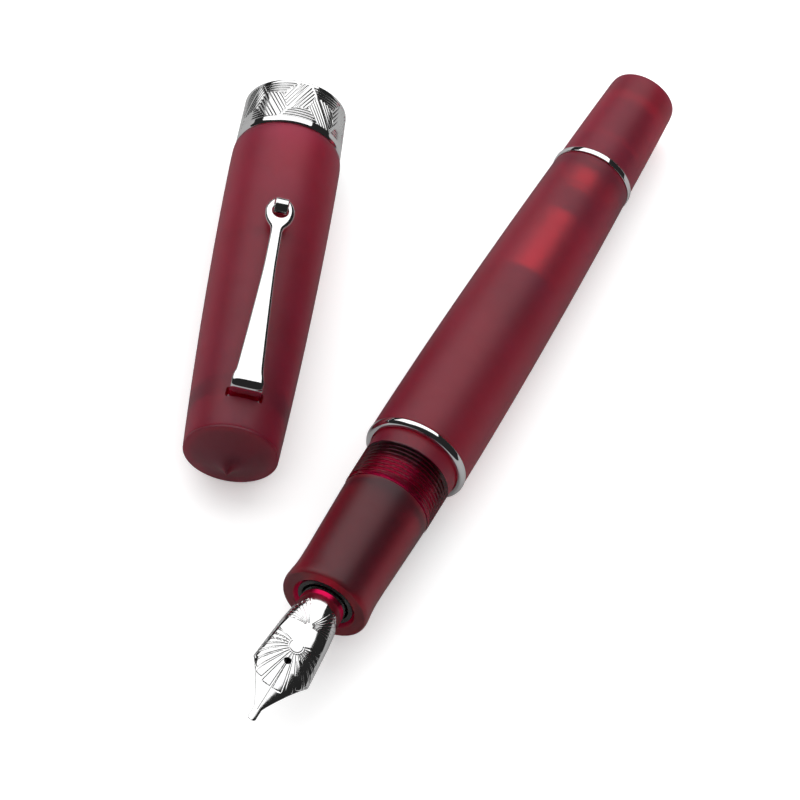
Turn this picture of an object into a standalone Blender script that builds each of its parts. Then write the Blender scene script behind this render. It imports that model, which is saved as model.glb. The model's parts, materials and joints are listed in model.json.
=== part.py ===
"""A fountain pen lying uncapped beside its cap: captive converter, blind cap and roller clip.

Lengths in the outlines are millimetres. Along the pen, stations run from the nib side of the
front trim ring, positive towards the nib. Along the cap they run from the crown's sharp edge,
positive towards the crown's point.
"""

from math import atan, atan2, cos, pi, radians, sin

import bmesh
import bpy
from mathutils import Matrix, Vector

MM = 0.001
OUTER_SIDES = 32
INNER_SIDES = 24
FINE_SIDES = 16
MERGE = 0.00001

# Where the two halves lie on the table
PEN_YAW = -18.67
PEN_ROLL = -12.0
PEN_PLACE = (2.127, -12.306)
PEN_BALANCE = -14.0
CAP_ROLL = -5.3
CAP_PLACE = (-22.665, -15.876)
CAP_BALANCE = -32.0

# Pen: stations and radii
RING_R = 7.5
RING_WIDTH = 1.0
SEAM = 0.1
BARREL_FRONT_R = 7.42
BARREL_TAIL = -56.5
BARREL_TAIL_R = 5.84
NECK_R = 6.45
NECK_END = 8.4
THREAD_START = 2.5
THREAD_PITCH = 0.7
THREAD_TURNS = 7
THREAD_ROOT_R = 6.1
SECTION_START = 8.75
SECTION_END = 27.2
SECTION_BORE_R = 4.25
HOUSING_END = 26.9
TENON_R = 5.05
TENON_END = 1.6
CONVERTER_BORE_R = 4.6
KNOB_BORE_R = 3.75
TAIL_TENON_R = 4.5
TAIL_TENON_END = -61.5
TAIL_RING_WIDTH = 0.9
BLIND_END = -74.3
BLIND_R = 5.72
BLIND_END_R = 4.95

# Nib and feed
NIB_R = 3.25
NIB_THICK = 0.3
NIB_BASE = 24.8
NIB_FREE = 30.2
NIB_TIP = 49.6
NIB_SHOULDER = 40.6
BREATHER = 39.4

# Converter
TUBE_R = 3.65
TUBE_BORE_R = 3.1
TUBE_REAR = -38.0
COLLAR_R = 3.95
COLLAR_FRONT = -34.5
COLLAR_REAR = -46.6
KNOB_R = 3.4
CUFF_R = 3.35
CUFF_FRONT = -51.3
CUFF_REAR = -57.9
ROD_R = 1.1
PISTON_REAR = -34.0
PISTON_LENGTH = 5.0

# Cap
CAP_LIP = -51.9
CAP_MOUTH = -59.7
CAP_MAX_R = 7.76
CAP_WIDEST = -43.0
CROWN_R = 6.63
CROWN_TIP = 3.4
CAP_BORE_R = 6.6
BAND_R = 7.47
BAND_MOUTH_R = 7.25
SHOULDER_TOP = -6.1
SHOULDER_FOOT = -8.6
INNER_CAP_END = -32.4

# Clip, measured from its bend in the slot
CLIP_STATION = -5.7
CLIP_ROOT_R = 6.4
ROLLER_ALONG = 30.3
ROLLER_UP = 2.7
ROLLER_R = 1.32
ROLLER_HALF = 0.93


def clear_scene():
    for thing in list(bpy.data.objects):
        bpy.data.objects.remove(thing)


def make_collection(name):
    group = bpy.data.collections.new(name)
    bpy.context.scene.collection.children.link(group)
    return group


def make_material(name, colour, roughness, metallic=0.0, transmission=0.0):
    material = bpy.data.materials.new(name)
    material.use_nodes = True
    shader = material.node_tree.nodes["Principled BSDF"]
    shader.inputs["Base Color"].default_value = (*colour, 1.0)
    shader.inputs["Roughness"].default_value = roughness
    shader.inputs["Metallic"].default_value = metallic
    shader.inputs["Transmission Weight"].default_value = transmission
    material.diffuse_color = (*colour, 1.0)
    return material


def add_object(name, mesh, parent, material, group):
    thing = bpy.data.objects.new(name, mesh)
    mesh.materials.append(material)
    thing.parent = parent
    group.objects.link(thing)
    return thing


def smooth(mesh):
    mesh.shade_smooth()
    mesh.set_sharp_from_angle(angle=radians(35))


def turned(name, outline, parent, material, group, sides=OUTER_SIDES, closed=True, roll=0.0):
    """A ring or a plug turned about the parent's Z axis, with one flat facing straight down.

    The outline holds (radius, station), running down the outer side. A closed outline makes a
    ring; an open one starts and ends on the axis."""
    mesh = bpy.data.meshes.new(name)
    points = [(radius * MM, 0, station * MM) for radius, station in outline]
    links = [(i, i + 1) for i in range(len(points) - 1)]
    if closed:
        links.append((len(points) - 1, 0))
    mesh.from_pydata(points, links, [])
    thing = add_object(name, mesh, parent, material, group)
    thing.rotation_euler.z = radians(-90 - roll + 180 / sides)
    screw = thing.modifiers.new("turn", "SCREW")
    screw.steps = screw.render_steps = sides
    screw.use_merge_vertices = True
    screw.merge_threshold = MERGE
    screw.use_smooth_shade = True
    return thing


def plate(outline, half_thickness):
    """A closed mesh of a flat outline in X and Y, thickened along Z."""
    curve = bpy.data.curves.new("outline", "CURVE")
    curve.dimensions = "2D"
    curve.fill_mode = "BOTH"
    curve.extrude = half_thickness * MM
    spline = curve.splines.new("POLY")
    spline.points.add(len(outline) - 1)
    for point, (x, y) in zip(spline.points, outline):
        point.co = (x * MM, y * MM, 0, 1)
    spline.use_cyclic_u = True
    holder = bpy.data.objects.new("outline", curve)
    bpy.context.scene.collection.objects.link(holder)
    bpy.context.view_layer.update()
    graph = bpy.context.evaluated_depsgraph_get()
    mesh = bpy.data.meshes.new_from_object(holder.evaluated_get(graph))
    bpy.data.objects.remove(holder)
    shape = bmesh.new()
    shape.from_mesh(mesh)
    bmesh.ops.remove_doubles(shape, verts=shape.verts, dist=MERGE)
    bmesh.ops.recalc_face_normals(shape, faces=shape.faces)
    shape.to_mesh(mesh)
    shape.free()
    return mesh


def box_mesh(low, high):
    shape = bmesh.new()
    bmesh.ops.create_cube(shape, size=1)
    middle = (Vector(low) + Vector(high)) / 2 * MM
    size = (Vector(high) - Vector(low)) * MM
    bmesh.ops.transform(shape, verts=shape.verts, matrix=Matrix.LocRotScale(middle, None, size))
    mesh = bpy.data.meshes.new("box")
    shape.to_mesh(mesh)
    shape.free()
    return mesh


def cylinder_mesh(radius, half_length, sides=FINE_SIDES):
    shape = bmesh.new()
    bmesh.ops.create_cone(shape, cap_ends=True, segments=sides, radius1=radius * MM,
                          radius2=radius * MM, depth=2 * half_length * MM)
    mesh = bpy.data.meshes.new("cylinder")
    shape.to_mesh(mesh)
    shape.free()
    return mesh


def combine(thing, name, mesh, place, operation, tools):
    """Cuts, joins or crosses the thing with a helper mesh placed in the same parent's frame."""
    helper = bpy.data.objects.new(name, mesh)
    helper.parent = thing.parent
    helper.matrix_local = place
    helper.hide_render = True
    helper.display_type = "WIRE"
    tools.objects.link(helper)
    modifier = thing.modifiers.new(name, "BOOLEAN")
    modifier.operation = operation
    modifier.object = helper


def barrel_radius(station):
    along = (-RING_WIDTH - SEAM - station) / (-RING_WIDTH - SEAM - BARREL_TAIL)
    return BARREL_FRONT_R - (BARREL_FRONT_R - BARREL_TAIL_R) * along ** 1.75


def cap_radius(station):
    along = max(0.0, (station - CAP_WIDEST) / -CAP_WIDEST)
    return CAP_MAX_R - (CAP_MAX_R - CROWN_R) * along ** 1.9


def blind_radius(station):
    along = (BARREL_TAIL - TAIL_RING_WIDTH - 2 * SEAM - station) / 15.9
    return BLIND_R - (BLIND_R - BLIND_END_R) * along ** 1.15


def steps(first, last, count):
    return [first + (last - first) * i / count for i in range(count + 1)]


def barrel_side():
    stations = steps(-RING_WIDTH - SEAM, BARREL_TAIL, 9)
    return [(barrel_radius(station), station) for station in stations]


def blind_side():
    stations = steps(BARREL_TAIL - TAIL_RING_WIDTH - 2 * SEAM, -73.5, 4)
    return [(blind_radius(station), station) for station in stations]


def cap_side():
    stations = steps(-0.4, CAP_WIDEST, 8)
    return [(cap_radius(station), station) for station in stations]


def lying(outline, balance):
    """Tilt of the axis, and its height at station 0, for a turned form that rests on two
    stations either side of its balance point."""
    flat = cos(pi / OUTER_SIDES)
    best = None
    for near_r, near in outline:
        for far_r, far in outline:
            if not near < balance < far:
                continue
            slope = (far_r - near_r) / (far - near)
            reach = near_r + slope * (balance - near)
            if best is None or reach > best[0]:
                best = (reach, slope, near_r - slope * near)
    tilt = atan(best[1] * flat)
    return tilt, best[2] * flat * cos(tilt)


def add_axis(name, place, height, yaw, tilt, roll, group):
    """An empty whose Z runs along the axis and whose Y is the top of the piece."""
    axis = bpy.data.objects.new(name, None)
    axis.empty_display_size = 0.01
    group.objects.link(axis)
    axis.matrix_world = (
        Matrix.Translation((place[0] * MM, place[1] * MM, height * MM))
        @ Matrix.Rotation(radians(yaw), 4, "Z")
        @ Matrix.Rotation(radians(90) - tilt, 4, "X")
        @ Matrix.Rotation(radians(roll), 4, "Z")
    )
    return axis


class Pen:
    """Everything that lies on the pen's own axis."""

    def __init__(self, group, tools, finish):
        self.group = group
        self.tools = tools
        self.finish = finish
        ring = [(RING_R, -0.3), (RING_R, -RING_WIDTH)]
        tilt, height = lying(ring + barrel_side() + blind_side(), PEN_BALANCE)
        self.axis = add_axis("pen_axis", PEN_PLACE, height, PEN_YAW, tilt, PEN_ROLL, group)

    def turn(self, name, outline, finish, sides=OUTER_SIDES, closed=True, parent=None):
        thing = turned(name, outline, parent or self.axis, self.finish[finish], self.group,
                       sides, closed, PEN_ROLL)
        return thing

    def barrel(self):
        neck = [(5.78, NECK_END), (NECK_R - 0.15, NECK_END), (NECK_R, NECK_END - 0.2)]
        for turn in range(THREAD_TURNS, 0, -1):
            crest = THREAD_START + THREAD_PITCH * turn
            neck += [(NECK_R, crest), (THREAD_ROOT_R, crest - THREAD_PITCH / 2)]
        neck += [(NECK_R, THREAD_START), (NECK_R, -RING_WIDTH - SEAM)]
        tail = [(TAIL_TENON_R, BARREL_TAIL), (TAIL_TENON_R, TAIL_TENON_END),
                (KNOB_BORE_R, TAIL_TENON_END), (KNOB_BORE_R, -52.0),
                (CONVERTER_BORE_R, -51.7), (CONVERTER_BORE_R, 0.6), (5.2, 0.8),
                (5.2, 7.5), (5.78, 7.5)]
        self.turn("barrel", neck + barrel_side() + tail, "resin")

    def trim_rings(self):
        front = [(6.6, 0), (7.2, 0), (RING_R, -0.3), (RING_R, -RING_WIDTH), (6.6, -RING_WIDTH)]
        self.turn("barrel_front_ring", front, "chrome")
        near = BARREL_TAIL - SEAM
        far = near - TAIL_RING_WIDTH
        rear = [(4.7, near), (5.88, near), (5.98, near - 0.2), (5.98, far + 0.2),
                (5.88, far), (4.7, far)]
        self.turn("tail_ring", rear, "chrome")

    def blind_cap(self):
        start = BARREL_TAIL - TAIL_RING_WIDTH - 2 * SEAM
        inside = [(0, -71.3), (3.9, -71.3), (3.9, -62.3), (4.7, -62.3), (4.7, start)]
        end = [(4.85, -74.0), (4.55, BLIND_END), (0, BLIND_END)]
        self.turn("blind_cap", inside + blind_side() + end, "resin", closed=False)

    def grip_section(self):
        grip = [(4.6, SECTION_END), (6.1, SECTION_END), (6.24, 26.95), (6.3, 26.4),
                (6.24, 25.6), (6.1, 24.4), (6.02, 22.8), (6.03, 21.0), (6.12, 17.5),
                (6.22, 13.5), (6.31, 10.0), (6.33, SECTION_START)]
        tenon = [(TENON_R, SECTION_START), (TENON_R, TENON_END), (SECTION_BORE_R, TENON_END),
                 (SECTION_BORE_R, 26.4)]
        self.turn("grip_section", grip + tenon, "resin")

    def section_o_ring(self):
        middle_r, middle, wire = 5.44, 8.05, 0.25
        angles = [pi / 2 - 2 * pi * i / 8 for i in range(8)]
        loop = [(middle_r + wire * cos(a), middle + wire * sin(a)) for a in angles]
        self.turn("section_o_ring", loop, "rubber")

    def nib_unit(self):
        housing = [(3.45, HOUSING_END), (4.1, HOUSING_END), (4.1, 12.0), (2.2, 12.0),
                   (2.2, 4.8), (1.0, 4.8), (1.0, 14.0), (3.45, 14.0)]
        self.turn("nib_housing", housing, "black", INNER_SIDES)
        fins = []
        for fin in range(5):
            top = 37.6 - fin * 1.3
            radius = 2.4 + 0.06 * fin
            fins += [(radius, top), (radius, top - 0.6), (radius - 0.7, top - 0.65),
                     (radius - 0.7, top - 1.25)]
        feed = [(0, 46.4), (0.6, 46.2), (1.4, 43.4), (2.2, 39.2)]
        feed += fins + [(2.7, 31.0), (2.75, 14.4), (0, 14.4)]
        self.turn("feed", feed, "black", INNER_SIDES, closed=False)

    def nib(self):
        stations = [NIB_BASE, NIB_FREE, 32, 34, 37, 39.4, NIB_SHOULDER, 41.4, 42.6, 44, 45.4,
                    46.6, 47.4, 48.5, NIB_TIP]
        across = 10
        shape = bmesh.new()
        rows = []
        for station in stations:
            row = [shape.verts.new(nib_point(station, 2 * i / across - 1) * MM)
                   for i in range(across + 1)]
            rows.append(row)
        for near, far in zip(rows, rows[1:]):
            for i in range(across):
                shape.faces.new((near[i], near[i + 1], far[i + 1], far[i]))
        bmesh.ops.recalc_face_normals(shape, faces=shape.faces)
        mesh = bpy.data.meshes.new("nib")
        shape.to_mesh(mesh)
        shape.free()
        nib = add_object("nib", mesh, self.axis, self.finish["steel"], self.group)
        shell = nib.modifiers.new("sheet", "SOLIDIFY")
        shell.thickness = NIB_THICK * MM
        shell.offset = -1 if mesh.polygons[across // 2].normal.y > 0 else 1
        drill = Matrix.Translation((0, 2.6 * MM, BREATHER * MM)) @ Matrix.Rotation(pi / 2, 4, "X")
        combine(nib, "breather_hole", cylinder_mesh(0.55, 1.5), drill, "DIFFERENCE", self.tools)
        smooth(mesh)

    def converter(self):
        tube = [(2.45, 10.2), (3.3, 10.2), (3.3, 4.0), (TUBE_R, 3.4), (TUBE_R, TUBE_REAR),
                (TUBE_BORE_R, TUBE_REAR), (TUBE_BORE_R, 3.0), (2.45, 3.6)]
        self.turn("converter_tube", tube, "clear", INNER_SIDES)
        sleeve = [(3.78, COLLAR_FRONT), (COLLAR_R - 0.07, COLLAR_FRONT),
                  (COLLAR_R, COLLAR_FRONT - 0.1), (COLLAR_R, COLLAR_REAR + 0.2),
                  (COLLAR_R - 0.2, COLLAR_REAR), (2.75, COLLAR_REAR), (2.75, COLLAR_REAR + 0.8),
                  (3.45, COLLAR_REAR + 0.8), (3.45, TUBE_REAR - 0.3), (3.78, TUBE_REAR - 0.3)]
        self.turn("converter_collar", sleeve, "chrome", INNER_SIDES)
        knob = [(0, -69.3), (1.4, -69.3), (1.4, -44.4), (3.1, -44.4), (3.1, -45.5),
                (2.5, -45.6), (2.5, -50.4), (2.9, -50.8), (2.9, CUFF_REAR - 0.1), (3.2, -58.1),
                (KNOB_R, -58.3), (KNOB_R, -69.8), (3.0, -70.5), (0, -70.5)]
        self.turn("converter_knob", knob, "smoke", INNER_SIDES, closed=False)
        cuff = [(3.0, CUFF_FRONT), (CUFF_R - 0.15, CUFF_FRONT), (CUFF_R, CUFF_FRONT - 0.15),
                (CUFF_R, CUFF_REAR + 0.15), (CUFF_R - 0.15, CUFF_REAR), (3.0, CUFF_REAR)]
        self.turn("knob_cuff", cuff, "chrome", INNER_SIDES)
        rod = [(0, PISTON_REAR - 0.1), (ROD_R, PISTON_REAR - 0.1), (ROD_R, -66.0), (0, -66.0)]
        self.turn("piston_rod", rod, "steel", FINE_SIDES, closed=False)
        front = PISTON_REAR + PISTON_LENGTH
        head = [(0, front), (2.2, front), (3.0, front - 0.8), (3.0, front - 1.4),
                (2.5, front - 1.7), (2.5, PISTON_REAR + 1.7), (3.0, PISTON_REAR + 1.4),
                (3.0, PISTON_REAR), (0, PISTON_REAR)]
        self.turn("piston_head", head, "rubber", INNER_SIDES, closed=False)

    def build(self):
        self.barrel()
        self.trim_rings()
        self.blind_cap()
        self.grip_section()
        self.section_o_ring()
        self.nib_unit()
        self.nib()
        self.converter()


def nib_half_width(station):
    """Half the nib's width: parallel-sided at the base, widest at the shoulder, narrow at the
    tip, which ends in a broad stub."""
    if station <= NIB_SHOULDER:
        along = max(0.0, (station - NIB_FREE) / (NIB_SHOULDER - NIB_FREE))
        return NIB_R - 0.03 + 1.05 * along ** 0.65
    left = NIB_TIP - station
    reach = NIB_TIP - NIB_SHOULDER
    return 0.62 + 3.65 * (max(0.0, left - 1.9) / (reach - 1.9)) ** 1.12


def nib_point(station, side):
    """Outer surface of the nib: side runs from -1 to 1 round the arc."""
    along = max(0.0, (station - NIB_FREE) / (NIB_TIP - NIB_FREE))
    top = NIB_R - 2.3 * along ** 1.9
    half = nib_half_width(station)
    bend = NIB_R + 3.4 * along ** 1.2
    if station < 34.0:
        spread = radians(100 - 2.2 * max(0.0, station - NIB_FREE))
        bend = half / max(sin(min(spread, pi / 2)), 0.5)
    else:
        spread = min(radians(86.8), atan2(half, (max(bend * bend - half * half, 0.3)) ** 0.5))
    angle = side * spread
    return Vector((bend * sin(angle), top - bend * (1 - cos(angle)), station))


class Cap:
    """The cap, its band, crown and roller clip."""

    def __init__(self, group, tools, finish):
        self.group = group
        self.tools = tools
        self.finish = finish
        tilt, height = lying(cap_side() + [(BAND_MOUTH_R, CAP_MOUTH)], CAP_BALANCE)
        self.axis = add_axis("cap_axis", CAP_PLACE, height, 0, tilt, CAP_ROLL, group)
        self.hinge = bpy.data.objects.new("clip_bend", None)
        self.hinge.empty_display_size = 0.004
        self.hinge.parent = self.axis
        self.hinge.matrix_local = (Matrix.Translation((0, CLIP_ROOT_R * MM, CLIP_STATION * MM))
                                   @ Matrix.Rotation(-pi / 2, 4, "X"))
        group.objects.link(self.hinge)

    def turn(self, name, outline, finish, sides=OUTER_SIDES, closed=True):
        return turned(name, outline, self.axis, self.finish[finish], self.group, sides,
                      closed, CAP_ROLL)

    def sleeve(self):
        lip = [(7.75, -47.5), (7.7, -50.6), (7.55, -51.5), (7.3, CAP_LIP), (7.0, CAP_LIP)]
        tenon = [(7.0, -59.3), (CAP_BORE_R, -59.3), (CAP_BORE_R, -33.5), (6.1, -32.5),
                 (6.1, SHOULDER_FOOT), (2.5, SHOULDER_FOOT), (2.5, SHOULDER_TOP),
                 (5.6, SHOULDER_TOP), (5.6, -0.4)]
        sleeve = self.turn("cap_sleeve", cap_side() + lip + tenon, "resin")
        slot = box_mesh((-2.6, 5.0, -6.4), (2.6, 9.0, -4.95))
        combine(sleeve, "clip_slot", slot, Matrix.Identity(4), "DIFFERENCE", self.tools)

    def crown(self):
        point = [(0, CROWN_TIP), (0.35, 3.0), (0.9, 2.4), (1.9, 1.75), (3.4, 1.1), (5.0, 0.52),
                 (CROWN_R, 0)]
        plug = [(CROWN_R, -0.3), (5.45, -0.3), (5.45, -5.1), (2.1, -5.1), (2.1, -12.4),
                (0, -12.4)]
        self.turn("crown_finial", point + plug, "resin", closed=False)

    def inner_cap(self):
        liner = [(2.25, -8.9), (5.9, -8.9), (5.9, INNER_CAP_END), (5.2, INNER_CAP_END),
                 (5.2, -13.0), (2.25, -13.0)]
        self.turn("inner_cap", liner, "resin")

    def band(self):
        band = [(7.08, CAP_LIP - SEAM), (7.3, CAP_LIP - SEAM), (BAND_R, -52.3),
                (BAND_R, -53.0), (BAND_MOUTH_R, CAP_MOUTH + 0.3),
                (BAND_MOUTH_R - 0.12, CAP_MOUTH), (6.7, CAP_MOUTH), (6.7, CAP_MOUTH + 0.3),
                (7.08, CAP_MOUTH + 0.3)]
        self.turn("cap_band", band, "chrome")

    def clip(self):
        top = [(-0.45, -0.4), (-0.45, 1.9), (-0.3, 2.5), (0.1, 2.85), (0.8, 3.0), (12, 3.35),
               (22, 3.3), (27, 3.25), (33, 3.3)]
        under = [(33, 2.0), (27, 2.05), (22, 2.4), (12, 2.5), (1.2, 2.15), (0.65, 1.95),
                 (0.45, 1.6), (0.45, -0.4)]
        strap = plate(top + under, 3.0)
        strap.transform(Matrix(((0, 0, 1, 0), (1, 0, 0, 0), (0, 1, 0, 0), (0, 0, 0, 1))))
        clip = add_object("clip", strap, self.hinge, self.finish["chrome"], self.group)
        edge = [(-0.8, 2.25), (0.9, 2.2), (1.8, 2.0), (3, 1.82), (5, 1.68), (10, 1.38),
                (16, 1.05), (21, 0.85), (25.8, 0.82), (26.6, 0.98), (27.3, 1.42), (28, 1.8),
                (28.7, 2.0), (29.4, 2.06), (30.1, 1.95), (30.8, 1.65), (31.3, 1.3),
                (31.35, 1.08), (30.3, 1.15), (29.6, 1.25), (28.9, 1.2), (28.3, 0.85),
                (28.05, 0.4)]
        left = [(along, -half) for along, half in reversed(edge)]
        face = plate(edge + left, 6.0)
        face.transform(Matrix(((0, 1, 0, 0), (1, 0, 0, 0), (0, 0, -1, 0), (0, 0, 0, 1))))
        combine(clip, "clip_face", face, Matrix.Identity(4), "INTERSECT", self.tools)
        drill = self.axle_place()
        combine(clip, "axle_hole", cylinder_mesh(0.3, 4.0), drill, "DIFFERENCE", self.tools)

    def axle_place(self):
        centre = Matrix.Translation((0, ROLLER_ALONG * MM, ROLLER_UP * MM))
        return centre @ Matrix.Rotation(pi / 2, 4, "Y")

    def roller(self):
        axle = add_object("roller_axle", cylinder_mesh(0.22, 1.75, FINE_SIDES), self.hinge,
                          self.finish["steel"], self.group)
        axle.matrix_local = self.axle_place()
        smooth(axle.data)
        wheel = [(0.35, ROLLER_HALF), (ROLLER_R - 0.12, ROLLER_HALF),
                 (ROLLER_R, ROLLER_HALF - 0.15), (ROLLER_R, 0.15 - ROLLER_HALF),
                 (ROLLER_R - 0.12, -ROLLER_HALF), (0.35, -ROLLER_HALF)]
        roller = turned("clip_roller", wheel, self.hinge, self.finish["steel"], self.group,
                        FINE_SIDES)
        roller.matrix_local = self.axle_place()

    def clip_ring(self):
        washer = [(2.5, -5.35), (5.3, -5.35), (5.3, -5.95), (2.5, -5.95)]
        ring = self.turn("clip_ring", washer, "steel", INNER_SIDES)
        tab = box_mesh((-2.2, 4.6, -5.9), (2.2, 5.75, -5.4))
        combine(ring, "ring_tab", tab, Matrix.Identity(4), "UNION", self.tools)

    def build(self):
        self.sleeve()
        self.crown()
        self.inner_cap()
        self.band()
        self.clip()
        self.roller()
        self.clip_ring()


def main():
    clear_scene()
    group = make_collection("fountain_pen")
    tools = make_collection("cutters")
    finish = {
        "resin": make_material("ruby_resin", (0.19, 0.012, 0.025), 0.42, transmission=0.4),
        "chrome": make_material("chrome", (0.82, 0.82, 0.83), 0.06, metallic=1.0),
        "steel": make_material("polished_steel", (0.76, 0.76, 0.77), 0.12, metallic=1.0),
        "black": make_material("black_plastic", (0.015, 0.015, 0.016), 0.35),
        "smoke": make_material("smoke_plastic", (0.22, 0.22, 0.23), 0.4),
        "clear": make_material("clear_plastic", (0.85, 0.86, 0.87), 0.08, transmission=0.9),
        "rubber": make_material("black_rubber", (0.02, 0.02, 0.02), 0.6),
    }
    Pen(group, tools, finish).build()
    Cap(group, tools, finish).build()
    bpy.context.view_layer.update()


main()
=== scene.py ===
# A fountain pen in frosted ruby resin, lying open beside its cap.
# Outlines are (radius, station) in millimetres, with a third number where a corner is rounded.
# Pen stations run from the front trim ring towards the nib; cap stations run from the
# crown's sharp edge towards its point. In both, local Y is the top of the piece.
import json
from math import acos, cos, pi, radians, sin

import bmesh
import bpy
import numpy as np
from mathutils import Matrix, Vector


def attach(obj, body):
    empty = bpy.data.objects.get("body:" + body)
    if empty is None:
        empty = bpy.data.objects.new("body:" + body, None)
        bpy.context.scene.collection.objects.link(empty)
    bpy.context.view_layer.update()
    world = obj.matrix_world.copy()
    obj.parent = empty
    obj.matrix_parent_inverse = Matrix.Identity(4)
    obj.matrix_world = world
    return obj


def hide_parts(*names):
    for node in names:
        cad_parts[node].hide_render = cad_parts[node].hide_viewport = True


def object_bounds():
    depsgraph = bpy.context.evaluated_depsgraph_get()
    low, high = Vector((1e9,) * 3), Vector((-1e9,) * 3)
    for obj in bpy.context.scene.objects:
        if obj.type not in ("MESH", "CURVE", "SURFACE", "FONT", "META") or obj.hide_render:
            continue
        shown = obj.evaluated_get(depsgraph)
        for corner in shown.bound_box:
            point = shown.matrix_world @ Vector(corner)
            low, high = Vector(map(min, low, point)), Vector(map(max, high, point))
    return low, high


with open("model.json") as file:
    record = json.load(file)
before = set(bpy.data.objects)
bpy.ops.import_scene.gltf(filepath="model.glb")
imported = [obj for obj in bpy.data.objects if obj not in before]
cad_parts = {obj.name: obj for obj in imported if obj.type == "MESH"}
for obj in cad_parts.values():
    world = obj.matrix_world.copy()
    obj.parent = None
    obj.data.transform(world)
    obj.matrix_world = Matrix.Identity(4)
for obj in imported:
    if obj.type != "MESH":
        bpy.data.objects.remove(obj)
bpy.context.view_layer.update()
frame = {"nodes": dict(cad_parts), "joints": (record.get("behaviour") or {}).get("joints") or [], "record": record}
joints = {joint["name"]: joint for joint in frame["joints"]}
mounts = {mount["name"]: mount for mount in frame["record"]["mounts"]}

mm = 0.001
roundSides = 160
smallSides = 96
cornerSteps = 5
lie = {"penRoll": -12.0, "clipRootRadius": 6.4, "clipStation": -5.7}


def frameFrom(across, up, along, origin):
    turn = Matrix((across, up, along)).transposed().to_4x4()
    return Matrix.Translation(origin) @ turn


def penFrame():
    along = Vector(joints["section_turn"]["axis"]).normalized()
    up = (Vector((0, 0, 1)) - along * along.z).normalized()
    level = frameFrom(up.cross(along), up, along, Vector(joints["section_turn"]["pos_m"]))
    return level @ Matrix.Rotation(radians(lie["penRoll"]), 4, "Z")


def capFrame():
    along = -Vector(mounts["cap_mouth_rim"]["axis"]).normalized()
    across = Vector(joints["clip_flex"]["axis"]).normalized()
    up = along.cross(across)
    bend = Vector(joints["clip_flex"]["pos_m"])
    origin = bend - (up * lie["clipRootRadius"] + along * lie["clipStation"]) * mm
    return frameFrom(across, up, along, origin)


penPlace = penFrame()
capPlace = capFrame()
# The clip's own frame sits at its bend: Y runs to the cap's mouth and Z stands out of the cap
clipPlace = (capPlace @ Matrix.Translation((0, lie["clipRootRadius"] * mm, lie["clipStation"] * mm))
             @ Matrix.Rotation(-pi / 2, 4, "X"))
group = bpy.data.collections.new("dressed_pen")
bpy.context.scene.collection.children.link(group)
print("frame loaded,", len(frame["nodes"]), "nodes")


# Materials

def newMaterial(name):
    material = bpy.data.materials.new(name)
    material.use_nodes = True
    shader = material.node_tree.nodes["Principled BSDF"]
    return material, material.node_tree, shader


def grain(tree, scale, detail=2.0, stretch=(1, 1, 1)):
    place = tree.nodes.new("ShaderNodeTexCoord")
    size = tree.nodes.new("ShaderNodeMapping")
    size.inputs["Scale"].default_value = stretch
    noise = tree.nodes.new("ShaderNodeTexNoise")
    noise.inputs["Scale"].default_value = scale
    noise.inputs["Detail"].default_value = detail
    tree.links.new(place.outputs["Object"], size.inputs["Vector"])
    tree.links.new(size.outputs["Vector"], noise.inputs["Vector"])
    return noise.outputs["Fac"]


def spread(tree, factor, low, high):
    ranged = tree.nodes.new("ShaderNodeMapRange")
    ranged.inputs["From Min"].default_value = 0.3
    ranged.inputs["From Max"].default_value = 0.7
    ranged.inputs["To Min"].default_value = low
    ranged.inputs["To Max"].default_value = high
    tree.links.new(factor, ranged.inputs["Value"])
    return ranged.outputs["Result"]


def tinted(tree, factor, first, second):
    ramp = tree.nodes.new("ShaderNodeValToRGB")
    ramp.color_ramp.elements[0].position = 0.35
    ramp.color_ramp.elements[0].color = (*first, 1)
    ramp.color_ramp.elements[1].position = 0.65
    ramp.color_ramp.elements[1].color = (*second, 1)
    tree.links.new(factor, ramp.inputs["Fac"])
    return ramp.outputs["Color"]


def roughened(tree, shader, factor, depth, strength=1.0):
    bump = tree.nodes.new("ShaderNodeBump")
    bump.inputs["Distance"].default_value = depth * mm
    bump.inputs["Strength"].default_value = strength
    tree.links.new(factor, bump.inputs["Height"])
    tree.links.new(bump.outputs["Normal"], shader.inputs["Normal"])


resin = {
    "deep": (0.86, 0.018, 0.16), "light": (0.92, 0.026, 0.20), "ior": 1.49,
    "absorbs": (0.955, 0.0, 0.50), "density": 560.0, "clearness": 0.92,
}


def rubyResin(name, roughness, variation, grainDepth, clearness, paintedShadeFactor=1.0):
    # Clearness is the share of light let through, and the last number darkens the colour as painted shade, for a
    # copy of the resin that should look darker
    material, tree, shader = newMaterial(name)
    cloud = grain(tree, 140, 3)
    deep, light = [[paintedShadeFactor * part for part in resin[tone]] for tone in ("deep", "light")]
    tree.links.new(tinted(tree, cloud, deep, light), shader.inputs["Base Color"])
    fine = grain(tree, 5200, 2)
    tree.links.new(spread(tree, fine, roughness - variation, roughness + variation),
                   shader.inputs["Roughness"])
    roughened(tree, shader, fine, grainDepth)
    shader.inputs["Transmission Weight"].default_value = clearness
    shader.inputs["IOR"].default_value = resin["ior"]
    body = tree.nodes.new("ShaderNodeVolumeAbsorption")
    body.inputs["Color"].default_value = (*resin["absorbs"], 1)
    body.inputs["Density"].default_value = resin["density"]
    tree.links.new(body.outputs["Volume"], tree.nodes["Material Output"].inputs["Volume"])
    return material


def metal(name, first, second, low, high, scale, stretch=(1, 1, 1), grainDepth=0.0):
    material, tree, shader = newMaterial(name)
    cloud = grain(tree, scale, 3, stretch)
    tree.links.new(tinted(tree, cloud, first, second), shader.inputs["Base Color"])
    tree.links.new(spread(tree, cloud, low, high), shader.inputs["Roughness"])
    shader.inputs["Metallic"].default_value = 1.0
    if grainDepth:
        roughened(tree, shader, cloud, grainDepth)
    return material


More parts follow.
